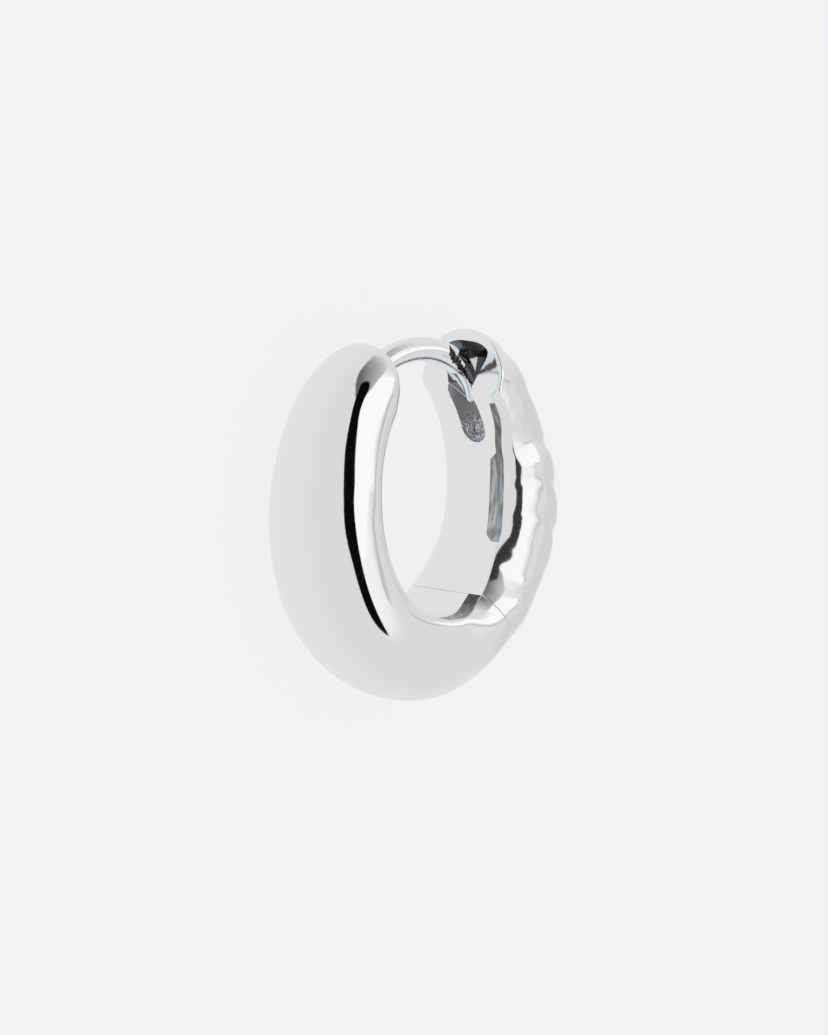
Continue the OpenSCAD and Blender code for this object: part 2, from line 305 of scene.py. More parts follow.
# %% [markdown]
# ## The rings of both halves
# The rings stand close together, because a polished surface shows every fault in its normals. Each half
# ends in a few rings that shrink to a rounded edge: a wide one on the front half's free end, a small one on
# the other, and a hardly visible one at the seam. A bevel modifier would round every sharp edge alike. The
# real seam has 0.05 mm of air, of which the eye sees next to nothing, so the drawn one is narrower.

# %% Stacks of rings
# radius of the rounding at the front half's free end, at the clasp and at the seam, and the seam's width
END_ROUND, CLASP_ROUND, SEAM_ROUND, SEAM_SEEN = 0.3, 0.1, 0.015, 0.01
# how far each ring of a rounding has turned, from 0 where the band is full to 90 on the end face
END_TURNS, CLASP_TURNS, SEAM_TURNS = np.linspace(90, 15, 7), np.linspace(15, 90, 6), np.linspace(0, 90, 5)
# degrees from ring to ring, and left free for the rounded ends and at the seam
FRONT_STEP, BACK_STEP = 1.2, 0.9
END_ROOM, CLASP_ROOM, SEAM_ROOM = 7, 2.5, 1.2
# degrees over which an end face's lean fades along the band
LEAN_REACH = 40


def lean_at(at, end, lean):
    """How much a ring leans, at some distance from an end that leans fully."""
    return lean * float(ease(1 - abs(at - end) / LEAN_REACH))


def rounded_end(table, at, lean, ribs, radius, way, turns, gap=0.0):
    """Rings that round off an end. way is 1 if the band lies towards smaller angles, and -1 if not."""
    return [(at, band_ring(table, at, lean, ribs, radius * (1 - math.cos(a)),
                           way * (gap + radius * (1 - math.sin(a))))) for a in np.radians(turns)]


front_stack = rounded_end(FRONT, FRONT_END, FRONT_STYLE[0], 0.0, END_ROUND, -1, END_TURNS)
for at in np.arange(FRONT_END + END_ROOM, 360 + HINGE - SEAM_ROOM, FRONT_STEP):
    front_stack.append((at, band_ring(FRONT, at, lean_at(at, FRONT_END, FRONT_STYLE[0]))))
front_stack += rounded_end(FRONT, 360 + HINGE, 0, 0.0, SEAM_ROUND, 1, SEAM_TURNS, SEAM_SEEN / 2)
back_stack = rounded_end(BACK, HINGE, 0, 0.0, SEAM_ROUND, -1, SEAM_TURNS[::-1], SEAM_SEEN / 2)
for at in np.arange(HINGE + SEAM_ROOM, BACK_END - CLASP_ROOM, BACK_STEP):
    back_stack.append((at, band_ring(BACK, at, lean_at(at, BACK_END, BACK_STYLE[0]), RIB_DEPTH)))
back_stack += rounded_end(BACK, BACK_END, BACK_STYLE[0], RIB_DEPTH, CLASP_ROUND, 1, CLASP_TURNS)
print("rings:", len(front_stack), "in front and", len(back_stack), "behind")

# %% [markdown]
# ## From rings to a mesh
# Two neighbouring rings are joined by a strip of four-sided faces, and the first and last ring close the
# ends. Blender's Bridge Edge Loops does the same by hand. Here the faces are listed by number, which also
# tells which face lies where, so that a strip of the surface can have another finish.

# %% Closed meshes
FINISHES = {}
# an end face gets one more ring this share of the way to its middle, which keeps the face flat
INSET = 0.06


def put(name, data):
    """A new object in the scene."""
    thing = bpy.data.objects.new(name, data)
    bpy.context.scene.collection.objects.link(thing)
    return thing


def closed_mesh(name, points, faces, finish):
    """An object from points in mm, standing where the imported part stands. Its faces look outwards."""
    mesh = bpy.data.meshes.new(name)
    mesh.from_pydata(((np.array(points) + SEAT) * MM).tolist(), [], faces)
    mesh.validate()
    mesh.materials.append(FINISHES[finish])
    # a closed mesh that is inside out has a negative volume
    volume = 0.0
    for face in mesh.polygons:
        v = [mesh.vertices[i].co for i in face.vertices]
        volume += sum(v[0].dot(v[a].cross(v[a + 1])) for a in range(1, len(v) - 1))
    if volume < 0:
        mesh.flip_normals()
    return put(name, mesh)


def between_rings(rings, sides):
    """The four corners of every face between closed rings: first, beside it, above it, above that one."""
    first = np.arange((rings - 1) * sides)
    beside = first // sides * sides + (first + 1) % sides
    return first, beside, first + sides, beside + sides


def closed_skin(name, stack, finish, strip=None, strip_finish="filed_silver_with_painted_reflection"):
    """A closed mesh through pairs of angle and ring. strip tells by angle and place which faces differ."""
    angles, rings = zip(*stack)
    angles = np.array([angles[0], *angles, angles[-1]])
    caps = [end + INSET * (end.mean(0) - end) for end in (rings[0], rings[-1])]
    rings = np.array([caps[0], *rings, caps[1]])
    count, n = rings.shape[:2]
    first, beside, above, above_beside = between_rings(count, n)
    faces = np.stack([first, above, above_beside, beside], -1).tolist()
    faces += [[*range(n)], [*range(count * n - 1, (count - 1) * n - 1, -1)]]
    thing = closed_mesh(name, rings.reshape(-1, 3), faces, finish)
    if strip:
        thing.data.materials.append(FINISHES[strip_finish])
        chosen = np.zeros(len(faces), int)
        chosen[:len(first)] = strip(angles[first // n], first % n)
        thing.data.polygons.foreach_set("material_index", chosen)
    print(name, "has", len(faces), "faces")
    return thing


# %% [markdown]
# ## Silver
# The casting is sterling silver, plated with rhodium against tarnish and polished on a felt wheel until it
# is a mirror. A mirror has hardly a colour of its own: nearly all that the eye gets from it is the room. So
# the base colour is a neutral near-white, and only where the wheel didn't reach does the metal show a skin.
# Blender could take all this from painted images, but nodes stay sharp at any distance. Patterns are sized
# in waves to the metre, and a speck or a patch is about half a wave wide.

# %% Helpers for finishes
CLEAN = "f8f9fa"
# the colour sockets of a mix node share their names with others, so they are taken by number
MIX_SHARE, MIX_A, MIX_B, MIX_OUT = 0, 6, 7, 2


def linear(hex_code):
    """An sRGB hex colour as linear numbers for Blender."""
    parts = [int(hex_code[i:i + 2], 16) / 255 for i in (0, 2, 4)]
    return [p / 12.92 if p <= 0.04045 else ((p + 0.055) / 1.055) ** 2.4 for p in parts]


def add(tree, kind, links=(), ramp=(), **settings):
    """Adds a node. A setting is a socket, with _ for a space, or a property. A link is (source, output,
    socket), and a mark of a colour ramp is its place and a hex colour or a grey."""
    item = tree.nodes.new(kind)
    for key, value in settings.items():
        socket = key.replace("_", " ")
        if socket in item.inputs:
            item.inputs[socket].default_value = value
        else:
            setattr(item, key, value)
    for at, tone in ramp[1:-1]:
        item.color_ramp.elements.new(at)
    for i, (at, tone) in enumerate(ramp):
        mark = item.color_ramp.elements[i]
        mark.position = at
        mark.color = (*linear(tone), 1) if isinstance(tone, str) else (tone, tone, tone, 1)
    for source, output, socket in links:
        tree.links.new(source.outputs[output], item.inputs[socket])
    return item


def new_finish(name, hex_code, metallic, rough):
    """A material with plain values to start from, and a node that tells each point's place."""
    material = bpy.data.materials.new(name)
    material.use_nodes = True
    tree = material.node_tree
    shader = tree.nodes["Principled BSDF"]
    shader.inputs["Base Color"].default_value = (*linear(hex_code), 1)
    shader.inputs["Metallic"].default_value = metallic
    shader.inputs["Roughness"].default_value = rough
    FINISHES[name] = material
    print("finish", name, "starts from", hex_code, "with roughness", rough)
    return tree, shader, add(tree, "ShaderNodeTexCoord")


# %% [markdown]
# ## Polished and veiled silver
# Wheel polishing leaves a faint haze in patches of about 0.5 mm. Nothing of it shows but a softer edge here
# and there in a reflection, so it is a broad noise on the roughness and no bump. On the ribbed half a trace
# of polishing paste stays. It veils the mirror, so that black turns to charcoal there: a shader with
# slightly less metal and more roughness does that without a second layer.

# %% Polished and veiled silver
HAZE_WAVES = 900.0
# the part of the noise that is used
HAZE_LOW, HAZE_HIGH = 0.3, 0.7
# name, metallic, roughness, and the least and greatest roughness in the haze
for name, metallic, rough, least, most in (("polished_silver", 1, 0.04, 0.02, 0.06),
                                           ("veiled_silver", 0.96, 0.09, 0.08, 0.11)):
    tree, shader, place = new_finish(name, CLEAN, metallic, rough)
    haze = add(tree, "ShaderNodeTexNoise", [(place, "Object", "Vector")], Scale=HAZE_WAVES, Detail=0.0)
    spread = add(tree, "ShaderNodeMapRange", [(haze, "Fac", "Value")],
                 From_Min=HAZE_LOW, From_Max=HAZE_HIGH, To_Min=least, To_Max=most)
    tree.links.new(spread.outputs["Result"], shader.inputs["Roughness"])

# %% [markdown]
# ## Filed silver with a painted reflection
# Beside its upper edge the inner face is eased off with a fine file, and the wheel hardly reaches there.
# Fine scratches along the band stay, 0.05 mm apart and drawn about twice as coarse, because finer ones
# wouldn't show. Their grey, brushed strip is also a painted reflection: it stands in for the grey and dark
# things that the inner face mirrors there, and its dark and light bands across the strip are painted
# reflections too. The noise is stretched along the band to draw the scratches. The bands, and where the
# strip ends in front, go by the place on the object: a painted mask would do the same.

# %% Filed silver with a painted reflection
SCRATCH_WAVES, SCRATCH_STRETCH = 7000.0, (0.6, 0.15, 1)
REFLECTION_BANDS_LOW, REFLECTION_BANDS_HIGH = -0.004, 0.004
# painted reflection in dark and light bands: how much of the light each height of the strip keeps, between
# the two heights above
REFLECTION_BANDS = [(0, 0.8), (0.08, 0.7), (0.13, 0.2), (0.2, 0.2), (0.3, 1.0), (0.7, 1.0), (0.76, 0.5), (1, 0.6)]
# file scratches in grey, and a painted reflection: the strip's grey and its dark bands stand in for what
# the inner face mirrors
tree, shader, place = new_finish("filed_silver_with_painted_reflection", "b4b5b6", 1, 0.22)
stretch = add(tree, "ShaderNodeMapping", [(place, "Object", "Vector")], Scale=SCRATCH_STRETCH)
scratches = add(tree, "ShaderNodeTexNoise", [(stretch, "Vector", "Vector")],
                Scale=SCRATCH_WAVES, Detail=2.0)
tone = add(tree, "ShaderNodeValToRGB", [(scratches, "Fac", "Fac")],
           ramp=[(0.35, "8c8d8e"), (0.68, "cfd0d1")])
spot = add(tree, "ShaderNodeSeparateXYZ", [(place, "Object", "Vector")])
rise = add(tree, "ShaderNodeMapRange", [(spot, "Y", "Value")], From_Min=REFLECTION_BANDS_LOW, From_Max=REFLECTION_BANDS_HIGH)
reflection_bands = add(tree, "ShaderNodeValToRGB", [(rise, "Result", "Fac")], ramp=REFLECTION_BANDS)
both = add(tree, "ShaderNodeMix", [(tone, "Color", MIX_A), (reflection_bands, "Color", MIX_B)],
           data_type="RGBA", blend_type="MULTIPLY")
both.inputs[MIX_SHARE].default_value = 1

# %% Where the strip and its painted reflection fade out in front
# along X the strip and its painted reflection fade into clean silver
STRIP_FADE_FROM, STRIP_FADE_TO = -0.0019, -0.0006
strip_fade = add(tree, "ShaderNodeMapRange", [(spot, "X", "Value")], From_Min=STRIP_FADE_FROM, From_Max=STRIP_FADE_TO)
faded = add(tree, "ShaderNodeMix", [(strip_fade, "Result", MIX_SHARE), (both, MIX_OUT, MIX_B)], data_type="RGBA")
faded.inputs[MIX_A].default_value = (*linear(CLEAN), 1)
tree.links.new(faded.outputs[MIX_OUT], shader.inputs["Base Color"])
dull = add(tree, "ShaderNodeMapRange", [(strip_fade, "Result", "Value")], To_Min=0.04, To_Max=0.22)
tree.links.new(dull.outputs["Result"], shader.inputs["Roughness"])
print("the file left off over", round(1000 * (STRIP_FADE_TO - STRIP_FADE_FROM), 1), "mm")

# %% [markdown]
# ## As-cast silver
# The slot can't be reached by the wheel, so it keeps the grey skin of the casting. Casting plaster leaves
# pits and folds about 0.1 mm apart. They are drawn twice as coarse, so that they show. A bump is enough, as
# nothing of the skin stands out at an edge. Above the line where the burr stopped, the slot's walls are
# even.

# %% As-cast silver
PIT_WAVES, FOLD_WAVES, PIT_DEPTH = 4500.0, 3500.0, 0.00022
BURR_FROM, BURR_TO = 0.003, 0.0034
tree, shader, place = new_finish("cast_silver", "f0f1f2", 1, 0.5)
pits = add(tree, "ShaderNodeTexVoronoi", [(place, "Object", "Vector")],
           feature="DISTANCE_TO_EDGE", Scale=PIT_WAVES)
folds = add(tree, "ShaderNodeTexNoise", [(place, "Object", "Vector")], Scale=FOLD_WAVES, Detail=4.0)
rough_skin = add(tree, "ShaderNodeMath", [(pits, "Distance", 0), (folds, "Fac", 1)], operation="ADD")
spot = add(tree, "ShaderNodeSeparateXYZ", [(place, "Object", "Vector")])
burr = add(tree, "ShaderNodeMapRange", [(spot, "Y", "Value")],
           From_Min=BURR_FROM, From_Max=BURR_TO, To_Min=1, To_Max=0.05)
cleared = add(tree, "ShaderNodeMath", [(rough_skin, "Value", 0), (burr, "Result", 1)], operation="MULTIPLY")
relief = add(tree, "ShaderNodeBump", [(cleared, "Value", "Height")], Strength=1.0, Distance=PIT_DEPTH)
tree.links.new(relief.outputs["Normal"], shader.inputs["Normal"])
gleam = add(tree, "ShaderNodeMapRange", [(burr, "Result", "Value")], To_Min=0.5, To_Max=0.36)
tree.links.new(gleam.outputs["Result"], shader.inputs["Roughness"])
skin = add(tree, "ShaderNodeValToRGB", [(burr, "Result", "Fac")], ramp=[(0, "d0d1d2"), (1, "fcfdfe")])
tree.links.new(skin.outputs["Color"], shader.inputs["Base Color"])

# %% [markdown]
# ## Silver with painted shade in the notch
# The notch behind the post is a deep recess. Its back wall and its roof get a dark grey colour: painted
# shade, where the recess is dark. The far corner of the back wall stays clean silver. The shade is mottled
# in patches of about 0.3 mm, through which the metal still gleams. So the shader stays a metal, and only
# its colour turns dark.

# %% Silver with painted shade in the notch
SHADE_MOTTLE_WAVES = 1500.0
# below the first height the back wall stays clean silver, above the second the painted shade is full
UNSHADED_BELOW, SHADE_ABOVE = 0.00172, 0.00176
tree, shader, place = new_finish("notch_painted_shade_silver", "6c6d6e", 1, 0.3)
shade_mottle = add(tree, "ShaderNodeTexNoise", [(place, "Object", "Vector")], Scale=SHADE_MOTTLE_WAVES, Detail=3.0)
tint = add(tree, "ShaderNodeValToRGB", [(shade_mottle, "Fac", "Fac")], ramp=[(0.35, "3c3d3e"), (0.75, "6c6d6e")])
spot = add(tree, "ShaderNodeSeparateXYZ", [(place, "Object", "Vector")])
# share of painted shade, by height on the object
left = add(tree, "ShaderNodeMapRange", [(spot, "Z", "Value")], From_Min=UNSHADED_BELOW, From_Max=SHADE_ABOVE)
painted_shade = add(tree, "ShaderNodeMix", [(left, "Result", MIX_SHARE), (tint, "Color", MIX_B)], data_type="RGBA")
painted_shade.inputs[MIX_A].default_value = (*linear(CLEAN), 1)
tree.links.new(painted_shade.outputs[MIX_OUT], shader.inputs["Base Color"])
dull = add(tree, "ShaderNodeMapRange", [(left, "Result", "Value")], To_Min=0.06, To_Max=0.3)
tree.links.new(dull.outputs["Result"], shader.inputs["Roughness"])

# %% [markdown]
# ## Silver with a painted reflection on the post
# Where the post enters the notch, a dark band is painted on it: a painted reflection of the dark notch. It
# is almost black, with light specks of about 0.04 mm that break it up. The noise is cut off high in a
# colour ramp, so that only its peaks turn into specks.

# %% Silver with a painted reflection on the post
SPECK_WAVES = 12000.0
tree, shader, place = new_finish("post_painted_reflection_silver", "262627", 1, 0.25)
specks = add(tree, "ShaderNodeTexNoise", [(place, "Object", "Vector")], Scale=SPECK_WAVES, Detail=2.0)
tint = add(tree, "ShaderNodeValToRGB", [(specks, "Fac", "Fac")], ramp=[(0.5, "262627"), (0.8, "9a9b9c")])
tree.links.new(tint.outputs["Color"], shader.inputs["Base Color"])

# %% [markdown]
# ## Drawn steel
# The hinge pin is stainless wire. Drawing it through a die leaves lines along it, finer than 0.01 mm, which
# spread the highlight across the wire. They are drawn several times coarser, so that they show, as a bump
# of a noise that is stretched along the wire.

# %% Drawn steel
LINE_WAVES, LINE_STRETCH, LINE_DEPTH = 20000.0, (1, 1, 0.05), 0.00001
tree, shader, place = new_finish("drawn_steel", "b9bbbd", 1, 0.3)
along_wire = add(tree, "ShaderNodeMapping", [(place, "Object", "Vector")], Scale=LINE_STRETCH)
lines = add(tree, "ShaderNodeTexNoise", [(along_wire, "Vector", "Vector")], Scale=LINE_WAVES, Detail=2.0)
line_bump = add(tree, "ShaderNodeBump", [(lines, "Fac", "Height")], Strength=0.2, Distance=LINE_DEPTH)
tree.links.new(line_bump.outputs["Normal"], shader.inputs["Normal"])
print("finishes:", ", ".join(FINISHES))

# %% [markdown]
# ## Both halves of the hoop
# The stacks of rings become meshes now. Each half has its own silver, and the filed strip with its painted
# reflection lies along the upper inner edge of both. On the back half it is the eased-off part, and on the
# front half the last faces of the inner face. A ring's points start at that edge, so those faces are the
# first or the last of a ring.

# %% Halves
# faces across the strip in front and the angle where it starts, and the angles between which it lies behind
FRONT_STRIP_FACES, FRONT_STRIP_FROM = 3, 236
BACK_STRIP_FROM, BACK_STRIP_TO = -26, 46


def front_strip(at, j):
    return (j >= RING - FRONT_STRIP_FACES) & (at > FRONT_STRIP_FROM)


def back_strip(at, j):
    return (j < np.searchsorted(TILTS, EASED)) & (at > BACK_STRIP_FROM) & (at < BACK_STRIP_TO)


# the strip faces of both halves get the filed silver with its painted reflection
front = closed_skin("front_half", front_stack, "polished_silver", front_strip)
back = closed_skin("back_half", back_stack, "veiled_silver", back_strip)

# %% [markdown]
# ## Cutters
# The clasp and the hinge's room are ground out of the casting, so here too they are cut from the swept
# band, with Blender's Boolean modifier. Each cutter is a closed prism between two outlines. Its material
# goes over to the walls that it leaves, as a burr leaves its own finish.

# %% Prisms and cuts


def prism(name, low, high, finish):
    """A closed mesh between two outlines with equally many points, in mm."""
    n = len(low)
    faces = [[j, (j + 1) % n, n + (j + 1) % n, n + j] for j in range(n)]
    faces += [[*range(n - 1, -1, -1)], [*range(n, 2 * n)]]
    return closed_mesh(name, [*low, *high], faces, finish)


def cut(thing, tool):
    """Cuts the tool out of the thing, and throws the tool away."""
    step = thing.modifiers.new("cut", "BOOLEAN")
    step.operation = "DIFFERENCE"
    step.solver = "EXACT"
    step.material_mode = "TRANSFER"
    step.object = tool
    ready = thing.evaluated_get(bpy.context.evaluated_depsgraph_get())
    mesh = bpy.data.meshes.new_from_object(ready)
    thing.modifiers.clear()
    thing.data = mesh
    bpy.data.objects.remove(tool)
    print(thing.name, "now has", len(mesh.polygons), "faces")


# %% [markdown]
# ## Room for the hinge
# The hinge is inside the band: the front half has a tongue on the pin, and the back half a knuckle on each
# side of it. The back half swings outwards, so its outer corner dips into the front half beside the tongue,
# and a groove is cut there for it. Everything is measured in the pin's own frame, because that is how the
# real hinge is drilled.

# %% The pin's frame
# height of the pin above the inner face, sizes of the knuckles, opening angle and running gap
PIN_H, KNUCKLE_D, TONGUE_W, KNUCKLES_W = 2.3, 0.76, 0.9, 2.0
OPEN_ANGLE, FIT_GAP = 40, 0.05
ROD_SIDES = 48
PIN = np.array([*(inner_oval(HINGE) + PIN_H * outward(HINGE)), 0.0])
PIN_X = np.array([*outward(HINGE), 0.0])
PIN_Y = np.array([-PIN_X[1], PIN_X[0], 0.0])
PIN_Z = np.array([0.0, 0.0, 1.0])


def at_pin(x, y, z):
    """x points out of the hoop, y along the band to the hinged half."""
    return PIN + x * PIN_X + y * PIN_Y + z * PIN_Z


def pin_outline(name, shape, z0, z1, finish):
    """A prism along the pin, with an outline in the pin's frame."""
    low, high = ([at_pin(x, y, z) for x, y in shape] for z in (z0, z1))
    return prism(name, low, high, finish)


def pin_rod(name, r, z0, z1, finish):
    """A round rod on the pin's axis."""
    return pin_outline(name, [r * turned(360 * i / ROD_SIDES) for i in range(ROD_SIDES)], z0, z1, finish)


print("hinge pin at", [round(float(v), 2) for v in PIN], "mm")

# %% Swing groove and knuckle rooms
# what the swinging corner has to spare, in mm of height and in degrees of turn
SPARE, SPARE_TURN = 0.03, 2
# where the groove starts, just inside the pin's middle and just before the seam
GROOVE_X, GROOVE_Y = -0.01, -0.04
# places that are surely outside the band: outwards, along it past the seam, and beside it
OUTSIDE, PAST, BESIDE = 2, 1, 3
corner = turned(OPEN_ANGLE + SPARE_TURN) * (BACK[0, 1] - PIN_H + SPARE)
swing = [(GROOVE_X, PAST), (GROOVE_X, GROOVE_Y), (corner[0], -corner[1]), (OUTSIDE, -corner[1]),
         (OUTSIDE, PAST)]
knuckle_r, half_room = KNUCKLE_D / 2 + FIT_GAP, KNUCKLES_W / 2 + FIT_GAP
for side in (-1, 1):
    cut(front, pin_outline("swing_groove", swing, side * TONGUE_W / 2, side * BESIDE, "polished_silver"))
    cut(front, pin_rod("knuckle_room", knuckle_r, side * TONGUE_W / 2, side * half_room, "polished_silver"))
room = KNUCKLE_D / 2 + 2 * FIT_GAP
tongue_sides = [(-room, -PAST), (OUTSIDE, -PAST), (OUTSIDE, room), (-room, room)]
cut(back, pin_outline("tongue_room", tongue_sides, -TONGUE_W / 2 - FIT_GAP, TONGUE_W / 2 + FIT_GAP,
                      "polished_silver"))

# %% [markdown]
# ## Slot and notch
# The post's tip snaps into a slot in the hinged half, and a wider notch above it lets the post in. The
# notch's outline has rounded corners, as a burr leaves them. They could be bevelled. Here each corner is
# cut off again and again, which needs only a line. The notch's floor slopes down into the band.

# %% Slot
# width, height of the lower end and depth of the slot, from the hoop's centre
SLOT_W, SLOT_LOW, SLOT_FLOOR = 1.1, 1.56, 3.35
# where the slot's cutter starts inside the opening and how high it reaches, and points on its round end
SLOT_START, SLOT_TOP, SLOT_ROUND_POINTS = 0.5, 3.9, 33


def slot_outline(x):
    r = SLOT_W / 2
    round_end = [(SLOT_LOW + r - r * turned(a)[0], r * turned(a)[1])
                 for a in np.linspace(-90, 90, SLOT_ROUND_POINTS)]
    return [np.array([x, y, z]) for y, z in round_end + [(SLOT_TOP, r), (SLOT_TOP, -r)]]


cut(back, prism("slot_tool", slot_outline(SLOT_START), slot_outline(SLOT_FLOOR), "cast_silver"))

# %% Notch
# half of the width, height above the inner face, depth down the slope, slope in degrees
NOTCH_HALF_W, NOTCH_H, NOTCH_DEEP, NOTCH_SLOPE = 1.12, 1.85, 1.25, 32
# where the cutter starts, before the end face
NOTCH_START = -1
# columns: height above the inner face, half of the notch's width
NOTCH_SIDE = [(0.25, SLOT_W / 2 + 0.02), (0.5, SLOT_W / 2 + 0.08), (NOTCH_H - 0.3, NOTCH_HALF_W),
              (NOTCH_H, NOTCH_HALF_W / 2)]
CORNER_ROUNDS, CORNER_CUT = 3, 0.2
# a wall of the tool counts as roof if its normal points up by this much, and not more to a side
STEEP = 0.5


def notch_outline(s):
    """The notch's outline, at s mm down its slope."""
    d = outward(BACK_END) + BACK_STYLE[0] * along(BACK_END)
    d = d / np.linalg.norm(d)
    o = inner_oval(BACK_END) + s * np.array([turned(NOTCH_SLOPE)[0], -turned(NOTCH_SLOPE)[1]])
    shape = NOTCH_SIDE + [(h, -w) for h, w in NOTCH_SIDE[::-1]]
    for _ in range(CORNER_ROUNDS):
        pairs = list(zip(shape, shape[1:] + shape[:1]))
        shape = [tuple(np.array(p) * (1 - k) + np.array(q) * k)
                 for p, q in pairs for k in (CORNER_CUT, 1 - CORNER_CUT)]
    return [np.array([*(o + h * d), w]) for h, w in shape]


notch_tool = prism("notch_tool", notch_outline(NOTCH_DEEP), notch_outline(NOTCH_START), "notch_painted_shade_silver")
notch_tool.data.materials.append(FINISHES["veiled_silver"])
for face in notch_tool.data.polygons:
    # the tool's end is the notch's back wall. that and the roof get the painted shade
    is_end = len(face.vertices) > 4
    is_roof = face.normal.y >= STEEP and abs(face.normal.z) <= STEEP
    face.material_index = 0 if is_end or is_roof else 1
cut(back, notch_tool)

# %% [markdown]
# ## The ear post
# The post is a drawn wire bent into an arch, and its end is filed to a taper so that it slips through the
# ear. A Bezier curve with a round bevel would give a wire too. As rings it can taper, end in a ball and
# carry a painted reflection on chosen faces. The arch and the bend at its end are two circles that touch.

# %% Rings of the wire
WIRE_SIDES = 96
POST_D, TIP_D, ARCH_R, BEND_R = 0.86, 0.42, 4.2, 1.75
ARCH_CENTRE, ARCH_FROM, ARCH_TO, BEND_TO = np.array([-0.4, 0.85]), 59, 126, 8
# degrees from ring to ring of the arch, rings of the bend, and turns at which the tip's ball has rings
ARCH_STEP, BEND_RINGS, TIP_TURNS = 0.5, 50, [12, 24, 36, 48, 60, 72, 82]


def wire_ring(centre, r, at, wire_r, push=0.0):
    """Points round the wire, at an angle on a circle of radius r. push moves them along the wire."""
    q = np.radians(360 * np.arange(WIRE_SIDES) / WIRE_SIDES)
    c, s = turned(at)
    h = r - wire_r * np.sin(q)
    return np.column_stack([centre[0] + h * c + push * s, centre[1] + h * s - push * c, wire_r * np.cos(q)])


bend_centre = ARCH_CENTRE + (ARCH_R - BEND_R) * turned(ARCH_FROM)
post_stack = []
for at in np.arange(ARCH_TO, ARCH_FROM, -ARCH_STEP):
    post_stack.append((at, wire_ring(ARCH_CENTRE, ARCH_R, at, POST_D / 2)))
for at in np.linspace(ARCH_FROM, BEND_TO, BEND_RINGS):
    share = (at - BEND_TO) / (ARCH_FROM - BEND_TO)
    post_stack.append((at, wire_ring(bend_centre, BEND_R, at, (TIP_D + (POST_D - TIP_D) * share) / 2)))
for a in np.radians(TIP_TURNS):
    ball_r, ball_push = TIP_D / 2 * math.cos(a), TIP_D / 2 * math.sin(a)
    post_stack.append((BEND_TO, wire_ring(bend_centre, BEND_R, BEND_TO, ball_r, ball_push)))
print("rings of the post:", len(post_stack))

# %% The post and its painted reflection
# painted reflection on the post. columns: angle along the post, where it starts and ends round the wire in
# degrees
PAINTED_REFLECTION = np.array([[24, 34, 36], [30, 28, 42], [42, 32, 50], [61, 15, 42], [68, -15, 28], [73, -45, 8]])
# two waves make its border ragged. columns: height in degrees round the wire, radians per degree along it
RAGGED = ((3, 0.9), (2, 2.3))


# the faces of the post that get the painted reflection of the dark notch
def painted_reflection_faces(at, j):
    ragged = sum(high * np.sin(quick * at) for high, quick in RAGGED)
    round_wire = (360 * (j + 0.5) / WIRE_SIDES + 180) % 360 - 180 + ragged
    start, end = (np.interp(at, PAINTED_REFLECTION[:, 0], PAINTED_REFLECTION[:, c]) for c in (1, 2))
    return (at > PAINTED_REFLECTION[0, 0]) & (at < PAINTED_REFLECTION[-1, 0]) & (round_wire > start) & (round_wire < end)


post = closed_skin("ear_post", post_stack, "polished_silver", painted_reflection_faces, "post_painted_reflection_silver")

# %% [markdown]
# ## Knuckles
# The tongue and the two outer knuckles are round rods on the pin's axis, with running gaps between them. On
# the real earring they are cast in one with the halves. Here they are pieces of their own that overlap
# them, which looks the same from outside and saves a risky union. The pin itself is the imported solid, in
# drawn steel.

# %% Knuckles and pin
tongue = pin_rod("front_knuckle", KNUCKLE_D / 2, -TONGUE_W / 2, TONGUE_W / 2, "polished_silver")
inner, outer = TONGUE_W / 2 + FIT_GAP, KNUCKLES_W / 2
side_a = pin_rod("back_knuckle_a", KNUCKLE_D / 2, inner, outer, "polished_silver")
side_b = pin_rod("back_knuckle_b", KNUCKLE_D / 2, -outer, -inner, "polished_silver")
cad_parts["hinge_pin"].material_slots[0].material = FINISHES["drawn_steel"]
print("knuckles", KNUCKLE_D, "mm thick, with gaps of", FIT_GAP, "mm")

# %% [markdown]
# ## Shading and bodies
# Smooth shading blends the normals of neighbouring faces, and an edge stays sharp where they meet at more
# than 30 degrees. Then each piece is tied to the body of the hinge that it moves with, and the imported
# hoop halves, which the swept ones stand in for, are hidden.

# %% Smooth the pieces and tie them to their bodies
SHARP = 30
pieces = (front, back, post, tongue, side_a, side_b)
for piece in pieces:
    piece.data.shade_smooth()
    piece.data.set_sharp_from_angle(angle=math.radians(SHARP))
for piece in (front, post, tongue):
    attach(piece, "front")
for piece in (back, side_a, side_b):
    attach(piece, "back")
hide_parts("front_hoop")
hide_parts("back_hoop")
print(len(pieces), "pieces with", sum(len(piece.data.polygons) for piece in pieces), "faces")

# %% [markdown]
# ## Light for a mirror
# A mirror is lit by what stands round it, not by lamps. The photographer's answer is a white tent, and
# black cards in it: where the silver reflects a card it turns black, and the eye reads the shape from that
# line. The tent is a sphere round the earring. Each card is an outline on it, given as directions seen from
# the earring: the compass angle from +X towards +Y, and the height above the horizon. Later cards lie over
# earlier ones.

# %% Cards in the tent
TENT_LOW, TENT_HIGH = "e6e7e8", "dddedf"
